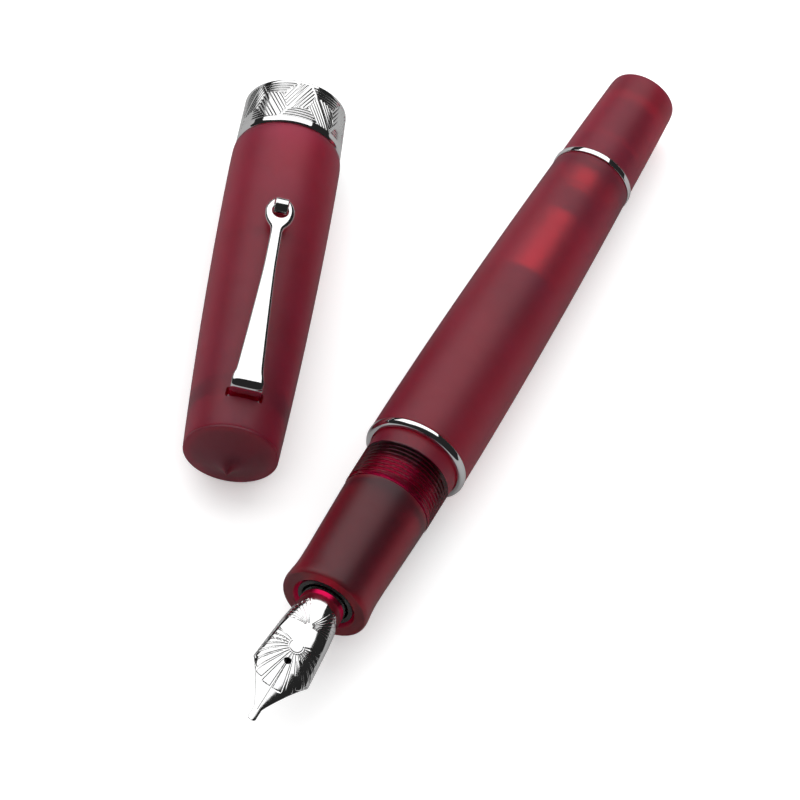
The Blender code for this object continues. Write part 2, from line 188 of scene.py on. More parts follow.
def moulded(name, first, second, low, high, scale, grainDepth):
    material, tree, shader = newMaterial(name)
    cloud = grain(tree, scale, 4)
    tree.links.new(tinted(tree, cloud, first, second), shader.inputs["Base Color"])
    tree.links.new(spread(tree, cloud, low, high), shader.inputs["Roughness"])
    roughened(tree, shader, cloud, grainDepth)
    return material


def clearPlastic(name):
    material, tree, shader = newMaterial(name)
    cloud = grain(tree, 300, 2)
    tree.links.new(tinted(tree, cloud, (0.93, 0.94, 0.95), (0.96, 0.96, 0.97)),
                   shader.inputs["Base Color"])
    tree.links.new(spread(tree, cloud, 0.04, 0.09), shader.inputs["Roughness"])
    shader.inputs["Transmission Weight"].default_value = 1.0
    shader.inputs["IOR"].default_value = 1.49
    return material


frostedRuby = rubyResin("frosted_ruby", 0.47, 0.04, 0.0016, resin["clearness"])
satinRuby = rubyResin("satin_ruby", 0.40, 0.04, 0.0012, 0.97)
crownRuby = rubyResin("crown_ruby", 0.45, 0.04, 0.0012, 0.94)
# The threads are the same resin, polished, with their colour darkened as painted shade
shadedThreadRuby = rubyResin("thread_ruby_painted_shade", 0.10, 0.02, 0.0002, 0.99, 0.85)
boredRuby = rubyResin("bored_ruby", 0.45, 0.05, 0.0008, 0.90)
chrome = metal("chrome_plate", (0.84, 0.84, 0.85), (0.88, 0.88, 0.88), 0.03, 0.06, 200)
engravedChrome = metal("engraved_chrome", (0.80, 0.80, 0.80), (0.88, 0.88, 0.88), 0.07, 0.13, 900)
nibSteel = metal("nib_steel", (0.80, 0.80, 0.80), (0.86, 0.86, 0.86), 0.07, 0.12, 700)
satinChrome = metal("satin_chrome", (0.86, 0.86, 0.86), (0.92, 0.92, 0.92), 0.26, 0.34, 1500)
turnedSteel = metal("turned_steel", (0.60, 0.60, 0.61), (0.70, 0.70, 0.70), 0.16, 0.26, 2500,
                    (1, 1, 1), 0.001)
blackPlastic = moulded("black_moulding", (0.010, 0.010, 0.011), (0.018, 0.018, 0.018),
                       0.22, 0.34, 2200, 0.002)
smokePlastic = moulded("smoke_moulding", (0.22, 0.22, 0.23), (0.26, 0.26, 0.27),
                       0.32, 0.42, 2200, 0.002)
blackRubber = moulded("black_rubber", (0.014, 0.014, 0.014), (0.024, 0.024, 0.024),
                      0.5, 0.65, 2600, 0.004)
clearTube = clearPlastic("clear_tube")
print("materials made")


# Mesh tools

def steps(first, last, count):
    return [first + (last - first) * i / count for i in range(count + 1)]


def flow(knots, places):
    # A smooth line through (place, value) knots that never overshoots between two of them
    xs, ys = np.array(knots, float).T
    slopes = np.diff(ys) / np.diff(xs)
    lean = np.zeros(len(xs))
    lean[0], lean[-1] = slopes[0], slopes[-1]
    for i in range(1, len(xs) - 1):
        if slopes[i - 1] * slopes[i] > 0:
            lean[i] = 2 * slopes[i - 1] * slopes[i] / (slopes[i - 1] + slopes[i])
    places = np.clip(np.asarray(places, float), xs[0], xs[-1])
    cell = np.clip(np.searchsorted(xs, places) - 1, 0, len(slopes) - 1)
    width = xs[cell + 1] - xs[cell]
    t = (places - xs[cell]) / width
    return ((2 * t**3 - 3 * t**2 + 1) * ys[cell] + (t**3 - 2 * t**2 + t) * width * lean[cell]
            + (3 * t**2 - 2 * t**3) * ys[cell + 1] + (t**3 - t**2) * width * lean[cell + 1])


def rounded(outline):
    points = []
    for i, corner in enumerate(outline):
        here = Vector(corner[:2])
        if len(corner) < 3:
            points.append(here)
            continue
        back = Vector(outline[i - 1][:2]) - here
        on = Vector(outline[(i + 1) % len(outline)][:2]) - here
        start = here + back.normalized() * min(corner[2], 0.48 * back.length)
        end = here + on.normalized() * min(corner[2], 0.48 * on.length)
        for t in steps(0, 1, cornerSteps):
            points.append(start * (1 - t) ** 2 + here * 2 * t * (1 - t) + end * t**2)
    return points


def tidyMesh(mesh, merge=False, sharpness=32):
    shape = bmesh.new()
    shape.from_mesh(mesh)
    if merge:
        bmesh.ops.remove_doubles(shape, verts=shape.verts, dist=1e-8)
    bmesh.ops.recalc_face_normals(shape, faces=shape.faces)
    shape.to_mesh(mesh)
    shape.free()
    mesh.shade_smooth()
    mesh.set_sharp_from_angle(angle=radians(sharpness))


def turned(name, outline, place, closed=True, sides=roundSides, carve=None, finishOf=None):
    points = rounded(outline)
    radius = np.array([point.x for point in points])[:, None]
    station = np.array([point.y for point in points])[:, None]
    angle = np.arange(sides)[None, :] * 2 * pi / sides
    radius, station, angle = np.broadcast_arrays(radius, station, angle)
    shaped = carve(radius, station, angle) if carve else radius
    coords = np.stack([shaped * np.cos(angle), shaped * np.sin(angle), station], -1) * mm
    rows = len(points) if closed else len(points) - 1
    i, j = np.meshgrid(np.arange(rows), np.arange(sides), indexing="ij")
    after, beside = (i + 1) % len(points), (j + 1) % sides
    faces = np.stack([i * sides + j, i * sides + beside, after * sides + beside,
                      after * sides + j], -1).reshape(-1, 4)
    mesh = bpy.data.meshes.new(name)
    mesh.from_pydata(coords.reshape(-1, 3).tolist(), [], faces.tolist())
    if finishOf:
        middles = [(points[k] + points[(k + 1) % len(points)]) / 2 for k in range(rows)]
        finish = np.repeat([finishOf(middle.x, middle.y) for middle in middles], sides)
        mesh.polygons.foreach_set("material_index", finish.astype(np.int32))
    mesh.transform(place)
    tidyMesh(mesh, merge=not closed)
    return mesh


def threadCarve(threads):
    # Each thread is (first station, last station, crest radius, depth, pitch); a negative depth
    # cuts outwards, into a bore
    def carve(radius, station, angle):
        cut = radius.copy()
        for first, last, crest, depth, pitch in threads:
            near = (np.abs(radius - crest) < 0.02) & (station >= first) & (station <= last)
            phase = station / pitch - angle / (2 * pi)
            groove = 1 - np.abs(np.sin(pi * phase)) ** 3.5
            fade = np.clip(np.minimum(station - first, last - station) / (0.6 * pitch), 0, 1)
            cut = np.where(near, cut - depth * groove * fade, cut)
        return cut
    return carve


def boxMesh(low, high, place, edge=0.0):
    shape = bmesh.new()
    bmesh.ops.create_cube(shape, size=1)
    middle = (Vector(low) + Vector(high)) / 2 * mm
    size = (Vector(high) - Vector(low)) * mm
    bmesh.ops.transform(shape, verts=shape.verts, matrix=Matrix.LocRotScale(middle, None, size))
    if edge:
        bmesh.ops.bevel(shape, geom=shape.edges, offset=edge * mm, segments=3, affect="EDGES",
                        profile=0.5)
    mesh = bpy.data.meshes.new("tool")
    shape.to_mesh(mesh)
    shape.free()
    mesh.transform(place)
    return mesh


def combine(mesh, tools, operation="DIFFERENCE", sharpness=32):
    # Cuts the tools out of the mesh, or joins them to it, and gives the new mesh
    work = bpy.data.objects.new("work", mesh)
    bpy.context.scene.collection.objects.link(work)
    helpers = []
    for tool in tools:
        helper = bpy.data.objects.new("tool", tool)
        bpy.context.scene.collection.objects.link(helper)
        helpers.append(helper)
        cut = work.modifiers.new("cut", "BOOLEAN")
        cut.operation = operation
        cut.object = helper
    bpy.context.view_layer.update()
    graph = bpy.context.evaluated_depsgraph_get()
    result = bpy.data.meshes.new_from_object(work.evaluated_get(graph))
    for thing in [work] + helpers:
        bpy.data.objects.remove(thing)
    result.shade_smooth()
    result.set_sharp_from_angle(angle=radians(sharpness))
    return result


def settle(name, mesh, body, nodes, slot, *materials):
    # Clearing the list also forgets which face has which finish, so that is kept beside it
    finish = np.zeros(len(mesh.polygons), np.int32)
    mesh.polygons.foreach_get("material_index", finish)
    mesh.materials.clear()
    for material in materials:
        mesh.materials.append(material)
    mesh.polygons.foreach_set("material_index", np.minimum(finish, len(materials) - 1))
    piece = bpy.data.objects.new(name, mesh)
    group.objects.link(piece)
    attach(piece, body)
    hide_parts(*nodes)
    return piece


# Barrel and trim rings

barrel = {
    "frontRadius": 7.42, "tailRadius": 5.84, "front": -1.1, "tail": -56.5, "taper": 1.75,
    "neckRadius": 6.45, "neckEnd": 8.4, "threadStart": 2.4, "threadEnd": 8.15,
    "threadPitch": 0.66, "threadDepth": 0.38, "converterBore": 4.6, "knobBore": 3.75,
    "tenonRadius": 4.5, "tenonEnd": -61.5, "tailPitch": 0.75,
}


def barrelRadius(station):
    along = (barrel["front"] - station) / (barrel["front"] - barrel["tail"])
    narrowing = (barrel["frontRadius"] - barrel["tailRadius"]) * along ** barrel["taper"]
    return barrel["frontRadius"] - narrowing


def makeBarrel():
    neck, end = barrel["neckRadius"], barrel["neckEnd"]
    outline = [(5.78, end, 0.08), (neck - 0.2, end, 0.1)]
    outline += [(neck, station) for station in steps(barrel["threadEnd"], barrel["threadStart"], 210)]
    outline += [(neck, barrel["front"])]
    outline += [(barrel["frontRadius"], barrel["front"], 0.12)]
    outline += [(barrelRadius(station), station)
                for station in steps(barrel["front"] - 0.4, barrel["tail"] + 0.3, 48)]
    outline += [(barrel["tailRadius"], barrel["tail"], 0.1), (barrel["tenonRadius"], barrel["tail"])]
    outline += [(barrel["tenonRadius"], station)
                for station in steps(barrel["tail"] - 1.2, barrel["tenonEnd"] + 0.15, 60)]
    outline += [(barrel["tenonRadius"] - 0.15, barrel["tenonEnd"]),
                (barrel["knobBore"], barrel["tenonEnd"], 0.1)]
    outline += [(barrel["knobBore"], -52.0, 0.1), (barrel["converterBore"], -51.7, 0.1),
                (barrel["converterBore"], 0.6, 0.1), (5.2, 0.8), (5.2, 7.5), (5.78, 7.5)]
    threads = threadCarve([
        (barrel["threadStart"], barrel["threadEnd"], neck, barrel["threadDepth"], barrel["threadPitch"]),
        (barrel["tenonEnd"] + 0.2, barrel["tail"] - 1.3, barrel["tenonRadius"], 0.18, barrel["tailPitch"]),
    ])

    # Faces of the neck threads get the polished copy of the resin, darkened as painted shade
    def finishOf(radius, station):
        return int(station > barrel["threadStart"] and radius > 5.9)

    mesh = turned("barrel_resin", outline, penPlace, carve=threads, finishOf=finishOf, sides=192)
    settle("barrel_resin", mesh, "pen", ["barrel"], "ruby_resin", frostedRuby, shadedThreadRuby)


trim = {"front": 7.5, "frontBore": 6.6, "rear": 5.98, "rearBore": 4.7, "width": 1.0}


def makeTrimRings():
    outside, bore, width = trim["front"], trim["frontBore"], trim["width"]
    front = [(bore, 0, 0.05), (outside - 0.35, 0, 0.25), (outside, -0.4, 0.25),
             (outside, -width, 0.12), (bore, -width, 0.03)]
    settle("front_trim", turned("front_trim", front, penPlace, sides=192), "pen",
           ["barrel_front_ring"], "chrome", chrome)
    outside, bore = trim["rear"], trim["rearBore"]
    near, far = barrel["tail"] - 0.1, barrel["tail"] - width
    rear = [(bore, near, 0.03), (outside, near, 0.16), (outside, far, 0.16), (bore, far, 0.03)]
    settle("tail_trim", turned("tail_trim", rear, penPlace, sides=192), "tail_trim",
           ["tail_ring"], "chrome", chrome)


blindCap = {
    "radius": 5.72, "endRadius": 4.95, "start": -57.6, "end": -74.3, "taper": 1.15, "length": 15.9,
    "socket": 4.7, "socketEnd": -62.3, "pocket": 3.9, "pocketEnd": -71.3,
}


def makeBlindCap():
    start, end = blindCap["start"], blindCap["end"]
    socket, pocket = blindCap["socket"], blindCap["pocket"]
    outline = [(0, blindCap["pocketEnd"]), (pocket, blindCap["pocketEnd"], 0.5),
               (pocket, blindCap["socketEnd"], 0.1), (socket, blindCap["socketEnd"])]
    outline += [(socket, station) for station in steps(blindCap["socketEnd"] + 0.3, start - 0.3, 70)]
    outline += [(socket, start, 0.05), (blindCap["radius"], start, 0.08)]
    for station in steps(start - 0.3, end + 1.0, 22):
        along = (start - station) / blindCap["length"]
        drop = (blindCap["radius"] - blindCap["endRadius"]) * along ** blindCap["taper"]
        outline.append((blindCap["radius"] - drop, station))
    outline += [(4.88, end + 0.4), (4.78, end, 0.28), (0, end)]
    threads = threadCarve([(blindCap["socketEnd"] + 0.4, start - 0.4, socket, -0.16,
                            barrel["tailPitch"])])
    mesh = turned("blind_cap_resin", outline, penPlace, closed=False, carve=threads)
    settle("blind_cap_resin", mesh, "blind_cap", ["blind_cap"], "ruby_resin", frostedRuby)


# Grip section, nib unit and seal

# The skin is (station, radius), from the shoulder to the bead round the front edge
grip = {
    "skin": [(8.75, 6.33), (10.0, 6.31), (13.5, 6.22), (17.5, 6.12), (21.0, 6.03), (22.8, 6.02),
             (24.4, 6.1), (25.7, 6.25), (26.5, 6.31), (26.95, 6.24), (27.15, 6.14)],
    "front": 27.2, "frontRadius": 6.1, "shoulder": 8.75, "shoulderRadius": 6.33,
    "tenon": 5.05, "tenonEnd": 1.6, "bore": 4.25, "boreFront": 26.4, "mouth": 4.6,
}


def makeSection():
    front, shoulder = grip["front"], grip["shoulder"]
    bead = [27.15, 27.08, 26.98, 26.85, 26.7, 26.55]
    outline = [(grip["mouth"], front, 0.12), (grip["frontRadius"], front, 0.05)]
    outline += [(float(flow(grip["skin"], station)), station)
                for station in bead + steps(26.4, shoulder + 0.05, 60)]
    outline += [(grip["shoulderRadius"], shoulder, 0.05), (grip["tenon"], shoulder),
                (grip["tenon"], grip["tenonEnd"], 0.1), (grip["bore"], grip["tenonEnd"], 0.1),
                (grip["bore"], grip["boreFront"], 0.2)]
    settle("grip_resin", turned("grip_resin", outline, penPlace, sides=192), "section",
           ["grip_section"], "ruby_resin", satinRuby)


seal = {"radius": 5.44, "station": 8.05, "wire": 0.25}


def makeSeal():
    loop = [(seal["radius"] + seal["wire"] * cos(a), seal["station"] + seal["wire"] * sin(a))
            for a in steps(pi / 2, -3 * pi / 2, 24)[:-1]]
    settle("section_seal_ring", turned("section_seal_ring", loop, penPlace, sides=smallSides),
           "section_seal", ["section_o_ring"], "black_rubber", blackRubber)


def makeNibHolder():
    housing = [(3.45, 26.9, 0.15), (4.12, 26.9, 0.18), (4.12, 12.0, 0.1), (2.2, 12.0, 0.2),
               (2.2, 4.8, 0.2), (1.0, 4.8, 0.1), (1.0, 14.0, 0.1), (3.45, 14.0, 0.1)]
    settle("nib_holder", turned("nib_holder", housing, penPlace, sides=smallSides),
           "section", ["nib_housing"], "black_plastic", blackPlastic)


feed = {"fins": 9, "firstFin": 38.4, "finPitch": 0.78, "finGap": 0.34, "channel": 0.34}


def makeFeed():
    outline = [(0, 46.4), (0.5, 46.3, 0.15), (1.4, 43.4, 0.6), (2.2, 39.4, 0.3)]
    for fin in range(feed["fins"]):
        top = feed["firstFin"] - fin * feed["finPitch"]
        radius = 2.3 + 0.05 * fin
        outline += [(radius, top, 0.05), (radius, top - feed["finPitch"] + feed["finGap"], 0.05),
                    (radius - 0.75, top - feed["finPitch"] + feed["finGap"], 0.05),
                    (radius - 0.75, top - feed["finPitch"], 0.05)]
    outline += [(2.72, 31.0, 0.1), (2.75, 14.4, 0.2), (0, 14.4)]
    mesh = turned("ink_feed", outline, penPlace, closed=False, sides=smallSides)
    half = feed["channel"] / 2
    channel = boxMesh((-half, 1.2, 30.0), (half, 4.0, 47.0), penPlace)
    mesh = combine(mesh, [channel])
    settle("ink_feed", mesh, "section", ["feed"], "black_plastic", blackPlastic)


# Nib: one curved sheet with an engraved sunburst, a breather hole and a slit. With each station,
# lean is how far its edge is turned down in degrees, and even is 1 where it turns as a plain arc.

nib = {
    "radius": 3.25, "thick": 0.3, "base": 24.8, "free": 30.2, "shoulder": 40.6, "tip": 49.6,
    "breather": 39.4, "breatherRadius": 0.52, "slit": 0.035, "columns": 168,
    "lean": [(24, 100), (28, 98), (31, 90), (36, 78), (40.6, 64), (44, 34), (50, 26)],
    "even": [(24, 1.0), (28, 0.9), (31, 0.55), (35, 0.2), (50, 0.1)], "droop": 1.3,
    "cut": 0.05, "line": 0.075,
}
# Engraved figures, each with the station of its centre, lengths in mm and angles in degrees
sun = {"at": 36.9, "spread": 118, "spacing": 14.0, "halfRay": 5.1, "inner": 0.95, "short": 5.3,
       "extra": 1.9, "falloff": 40}
fan = {"at": 33.3, "first": 24, "last": 92, "spacing": 9.0, "reach": 4.3, "scallop": 14}
hatch = {"from": 30.8, "to": 38.5, "inner": 0.80, "outer": 0.93, "pitch": 0.36}


def nibHalfWidth(station):
    length = nib["shoulder"] - nib["free"]
    widening = np.clip((station - nib["free"]) / length, 0, 1)
    body = nib["radius"] - 0.03 + 1.05 * widening ** 0.65
    left = nib["tip"] - station
    reach = nib["tip"] - nib["shoulder"]
    point = 0.62 + 3.65 * (np.clip(left - 1.9, 0, None) / (reach - 1.9)) ** 1.12
    blend = np.clip((station - nib["shoulder"] + 0.5) / 1.0, 0, 1)
    blend = blend * blend * (3 - 2 * blend)
    return body * (1 - blend) + np.minimum(body, point) * blend


def nibSheet(station, side):
    # Outer surface of the nib, with side from -1 to 1 round the arc. The sheet turns slowly
    # over its top and quickly down its flanks, more so towards the point.
    rows = station[:, 0]
    along = np.clip((rows - nib["free"]) / (nib["tip"] - nib["free"]), 0, 1)
    top = (nib["radius"] - nib["droop"] * along ** 1.3)[:, None]
    lean = np.radians(flow(nib["lean"], rows))[:, None]
    even = flow(nib["even"], rows)[:, None]
    tilt = lean * (even * side + (1 - even) * side ** 3)
    spacing = side[0, 1] - side[0, 0]

    def summed(values):
        total = np.cumsum((values[:, 1:] + values[:, :-1]) / 2 * spacing, axis=1)
        total = np.concatenate([np.zeros((len(rows), 1)), total], axis=1)
        return total - total[:, side.shape[1] // 2][:, None]

    across, drop = summed(np.cos(tilt)), summed(np.sin(tilt))
    size = nibHalfWidth(rows)[:, None] / across.max(axis=1, keepdims=True)
    return np.stack([size * across, top - size * drop, station], -1)


def lineCut(distance):
    return np.clip(1 - np.abs(distance) / nib["line"], 0, 1) ** 0.8


def sunCut(across, station):
    # Narrow closed rays round the tip side of the sun, longest beside the slit
    reach = np.hypot(across, station - sun["at"])
    bearing = np.degrees(np.arctan2(across, station - sun["at"]))
    spacing = sun["spacing"]
    ray = np.round((bearing - spacing / 2) / spacing) + 0.5
    off = np.radians(np.abs(bearing - ray * spacing))
    limit = sun["short"] + sun["extra"] * np.exp(-(np.abs(ray) * spacing / sun["falloff"]) ** 2)
    lit = np.abs(bearing) < sun["spread"]
    sides = (reach > sun["inner"] + 0.2) & (reach < limit) & lit
    ends = (off < radians(sun["halfRay"])) & lit
    depth = np.where(sides, lineCut(reach * (off - radians(sun["halfRay"]))), 0)
    depth = np.maximum(depth, np.where(ends, lineCut(reach - limit), 0))
    return np.maximum(depth, np.where(lit, 0.8 * lineCut(reach - sun["inner"]), 0))


def fanCut(across, station):
    # Plain rays opening towards the base, with scalloped ends
    reach = np.hypot(across, fan["at"] - station)
    side = np.abs(np.degrees(np.arctan2(across, fan["at"] - station)))
    spacing = fan["spacing"]
    ray = np.floor((side - fan["first"]) / spacing)
    off = np.radians(side - fan["first"] - ray * spacing)
    middle = np.radians(side - fan["first"] - (ray + 0.5) * spacing)
    limit = fan["reach"] - fan["scallop"] * middle ** 2
    inFan = (side > fan["first"]) & (side < fan["last"]) & (reach > 0.5)
    depth = np.where(inFan & (reach < limit), lineCut(reach * off), 0)
    return np.maximum(depth, np.where(inFan & (reach > 1), lineCut(reach - limit), 0))


def hatchCut(across, station):
    # Fine hatching down both flanks, inside one long line
    half = nibHalfWidth(station)
    inward = np.abs(across) / (half * 1.35)
    along = (station > hatch["from"]) & (station < hatch["to"])
    flank = (inward > hatch["inner"]) & (inward < hatch["outer"]) & along
    pitch = hatch["pitch"]
    stroke = np.abs((station * 0.8 + np.abs(across) * 0.6) % pitch - pitch / 2)
    depth = np.where(flank, 0.8 * lineCut(stroke), 0)
    return np.maximum(depth, np.where(along, 0.8 * lineCut((inward - hatch["inner"]) * half), 0))


def nibEngraving(across, station):
    # Depth of the engraving at a place on the flattened nib, from 0 to 1
    return np.maximum(np.maximum(sunCut(across, station), fanCut(across, station)),
                      hatchCut(across, station))


def makeNib():
    stations = np.array(steps(nib["base"], 30.0, 26) + steps(30.06, 44.0, 232)
                        + steps(44.15, 49.2, 50) + [49.35, 49.47, 49.55, nib["tip"]])
    sides = np.linspace(-1, 1, nib["columns"] + 1)
    station, side = np.meshgrid(stations, sides, indexing="ij")
    # The stub's corners are rounded in plan
    left = nib["tip"] - station
    inset = np.where(left < 0.35, 1 - 0.35 * (1 - left / 0.35) ** 2, 1.0)
    outer = nibSheet(station, side)
    outer[..., 0] *= inset
    ds = np.gradient(outer, axis=0)
    du = np.gradient(outer, axis=1)
    normal = np.cross(du, ds)
    normal /= np.linalg.norm(normal, axis=2, keepdims=True)
    normal *= np.sign(normal[len(stations) // 2, nib["columns"] // 2, 1])
    chord = np.linalg.norm(np.diff(outer, axis=1), axis=2)
    across = np.concatenate([np.zeros((len(stations), 1)), np.cumsum(chord, axis=1)], axis=1)
    across -= across[:, nib["columns"] // 2][:, None]
    engraved = outer - normal * (nibEngraving(across, station) * nib["cut"])[..., None]
    # The edge is eased by pulling the outermost columns down a little
    ease = np.clip((1 - np.abs(side)) * nibHalfWidth(station) / 0.08, 0, 1)
    engraved -= normal * (0.05 * (1 - ease) ** 2)[..., None]
    thick = nib["thick"] * np.clip(0.75 + 0.25 * left / 6, 0.75, 1)
    inner = outer - normal * thick[..., None]
    rows, columns = station.shape
    coords = np.concatenate([engraved.reshape(-1, 3), inner.reshape(-1, 3)]) * mm
    i, j = np.meshgrid(np.arange(rows - 1), np.arange(columns - 1), indexing="ij")
    a = (i * columns + j).ravel()
    top = np.stack([a, a + 1, a + columns + 1, a + columns], 1)
    shift = rows * columns
    rim = [r * columns for r in range(rows)]
    loop = rim + [(rows - 1) * columns + c for c in range(1, columns)]
    loop += [r * columns + columns - 1 for r in range(rows - 2, -1, -1)]
    loop += [c for c in range(columns - 2, 0, -1)]
    loop = np.array(loop)
    following = np.roll(loop, -1)
    wall = np.stack([loop, following, following + shift, loop + shift], 1)
    faces = np.concatenate([top, top + shift, wall])
    mesh = bpy.data.meshes.new("nib_sheet")
    mesh.from_pydata(coords.tolist(), [], faces.tolist())
    tidyMesh(mesh)
    drill = Matrix.Translation((0, 2.4 * mm, nib["breather"] * mm)) @ Matrix.Rotation(-pi / 2, 4, "X")
    radius = nib["breatherRadius"]
    hole = turned("hole", [(0, 2.5), (radius, 2.5), (radius, -2.5), (0, -2.5)], drill, closed=False,
                  sides=64)
    slit = boxMesh((-nib["slit"], -2.0, nib["breather"]), (nib["slit"], 5.0, nib["tip"] + 1),
                   Matrix.Identity(4))
    mesh = combine(mesh, [hole, slit])
    mesh.transform(penPlace)
    settle("nib_sheet", mesh, "section", ["nib"], "polished_steel", nibSteel)


# Converter under the barrel

converter = {
    "tube": 3.65, "tubeBore": 3.1, "tubeRear": -38.0, "collar": 3.95, "collarFront": -34.5,
    "collarRear": -46.6, "cuff": 3.35, "cuffFront": -51.3, "cuffRear": -57.9, "knob": 3.4,
    "ribs": 28, "rod": 1.1, "rodLead": 2.5, "pistonRear": -34.0, "pistonLength": 5.0,
}


def makeConverter():
    c = converter
    tube = [(2.45, 10.2, 0.1), (3.3, 10.2, 0.15), (3.3, 4.0, 0.1), (c["tube"], 3.4, 0.3),
            (c["tube"], c["tubeRear"], 0.1), (c["tubeBore"], c["tubeRear"], 0.1),
            (c["tubeBore"], 3.0, 0.3), (2.45, 3.6, 0.1)]
    settle("ink_tube", turned("ink_tube", tube, penPlace, sides=smallSides), "section",
           ["converter_tube"], "clear_plastic", clearTube)
    front, rear = c["collarFront"], c["collarRear"]
    sleeve = [(3.78, front, 0.03), (c["collar"], front, 0.12), (c["collar"], rear, 0.25),
              (2.75, rear, 0.05), (2.75, rear + 0.8), (3.45, rear + 0.8),
              (3.45, c["tubeRear"] - 0.3), (3.78, c["tubeRear"] - 0.3)]
    settle("converter_sleeve", turned("converter_sleeve", sleeve, penPlace, sides=smallSides),
           "section", ["converter_collar"], "chrome", satinChrome)
    knob = [(0, -69.3), (1.4, -69.3), (1.4, -44.4, 0.1), (3.1, -44.4, 0.1), (3.1, -45.5, 0.1),
            (2.5, -45.6), (2.5, -50.4, 0.2), (2.9, -50.8, 0.1), (2.9, c["cuffRear"] - 0.15),
            (c["knob"] - 0.05, -58.1, 0.15), (c["knob"], -58.4)]
    knob += [(c["knob"], station) for station in steps(-58.6, -69.6, 20)]
    knob += [(3.15, -70.5, 0.6), (0, -70.5)]

    def ribs(radius, station, angle):
        ribbed = (radius > c["knob"] - 0.01) & (station < -58.5) & (station > -69.65)
        return np.where(ribbed, radius - 0.14 * (0.5 - 0.5 * np.cos(c["ribs"] * angle)) ** 0.6, radius)

    settle("turning_knob", turned("turning_knob", knob, penPlace, closed=False, sides=224, carve=ribs),
           "knob", ["converter_knob"], "smoke_plastic", smokePlastic)
    cuff = [(3.0, c["cuffFront"], 0.05), (c["cuff"], c["cuffFront"], 0.2),
            (c["cuff"], c["cuffRear"], 0.2), (3.0, c["cuffRear"], 0.05)]
    settle("knob_sleeve", turned("knob_sleeve", cuff, penPlace, sides=smallSides), "knob",
           ["knob_cuff"], "chrome", satinChrome)
    rear = c["pistonRear"]
    rod = [(0, rear - 0.1), (c["rod"], rear - 0.1, 0.05), (c["rod"], rear - 0.8)]
    rod += [(c["rod"], station) for station in steps(rear - 1, -65.5, 240)]
    rod += [(c["rod"], -66.0, 0.2), (0, -66.0)]
    lead = threadCarve([(-65.6, rear - 1, c["rod"], 0.22, c["rodLead"] / 2)])
    settle("piston_screw", turned("piston_screw", rod, penPlace, closed=False, sides=48, carve=lead),
           "piston", ["piston_rod"], "polished_steel", turnedSteel)
    front = rear + c["pistonLength"]
    head = [(0, front), (2.2, front, 0.3), (3.0, front - 0.9, 0.2), (3.0, front - 1.4, 0.1),
            (2.5, front - 1.7, 0.2), (2.5, rear + 1.7, 0.2), (3.0, rear + 1.4, 0.1),
            (3.0, rear, 0.15), (0, rear)]
    settle("piston_seal", turned("piston_seal", head, penPlace, closed=False, sides=smallSides),
           "piston", ["piston_head"], "black_rubber", blackRubber)


makeBarrel()
makeTrimRings()
makeBlindCap()
print("barrel and blind cap turned")
makeSection()
makeSeal()
makeNibHolder()
makeFeed()
makeNib()
print("section and nib made")
makeConverter()
print("converter made")


# Cap

cap = {
    "widest": 7.76, "widestAt": -43.0, "crownRadius": 6.63, "bulge": 1.9, "lip": -51.9,
    "mouth": -59.7, "bore": 6.6, "tenon": 7.0, "threadDepth": -0.22, "threadPitch": 0.68,
}


def capRadius(station):
    along = max(0.0, (station - cap["widestAt"]) / -cap["widestAt"])
    return cap["widest"] - (cap["widest"] - cap["crownRadius"]) * along ** cap["bulge"]


def makeCapSleeve():
    outline = [(6.5, -0.4), (6.6, -0.45, 0.05)]
    outline += [(capRadius(station), station) for station in steps(-0.7, cap["widestAt"], 44)]
    lip = [(-43.0, 7.76), (-47.5, 7.75), (-50.2, 7.71), (-51.1, 7.63), (-51.6, 7.5), (-51.9, 7.28)]
    knots = sorted(lip)
    outline += [(float(flow(knots, station)), station)
                for station in steps(-43.6, -51.0, 16) + steps(-51.1, cap["lip"], 8)]
    outline += [(cap["tenon"], cap["lip"]), (cap["tenon"], -59.3, 0.08), (cap["bore"], -59.3)]
    outline += [(cap["bore"], station) for station in steps(-59.0, -52.6, 180)]
    outline += [(cap["bore"], -33.5, 0.2), (6.1, -32.5, 0.2), (6.1, -8.6, 0.4), (2.5, -8.6, 0.05),
                (2.5, -6.1, 0.05), (5.6, -6.1, 0.1), (5.6, -0.4, 0.05)]
    threads = threadCarve([(-58.9, -52.7, cap["bore"], cap["threadDepth"], cap["threadPitch"])])
    mesh = turned("cap_resin", outline, capPlace, carve=threads, sides=192)
    slot = boxMesh((-2.6, 5.0, -6.4), (2.6, 9.0, -4.95), capPlace, 0.25)
    mesh = combine(mesh, [slot])
    settle("cap_resin", mesh, "cap", ["cap_sleeve"], "ruby_resin", frostedRuby)


# The hollowed face is (radius, height) from the point out to the edge
crown = {
    "face": [(0.0, 3.4), (0.35, 3.0), (0.9, 2.4), (1.9, 1.75), (3.4, 1.1), (5.0, 0.52), (6.5, 0.04)],
}


def makeCrown():
    outline = [(0, 3.38), (0.12, 3.3)]
    outline += [(radius, float(flow(crown["face"], radius))) for radius in steps(0.22, 6.5, 60)]
    outline += [(6.63, -0.03, 0.06), (6.6, -0.38, 0.03), (5.45, -0.3), (5.45, -5.1, 0.15),
                (2.1, -5.1), (2.1, -12.4, 0.3), (0, -12.4)]
    mesh = turned("crown_resin", outline, capPlace, closed=False, sides=192)
    settle("crown_resin", mesh, "cap", ["crown_finial"], "ruby_resin", crownRuby)


def makeInnerCap():
    liner = [(2.25, -8.9, 0.1), (5.9, -8.9, 0.4), (5.9, -32.4, 0.1), (5.2, -32.4, 0.1),
             (5.2, -13.0, 0.5), (2.25, -13.0, 0.1)]
    settle("nib_liner", turned("nib_liner", liner, capPlace, sides=smallSides), "cap",
           ["inner_cap"], "ruby_resin", boredRuby)


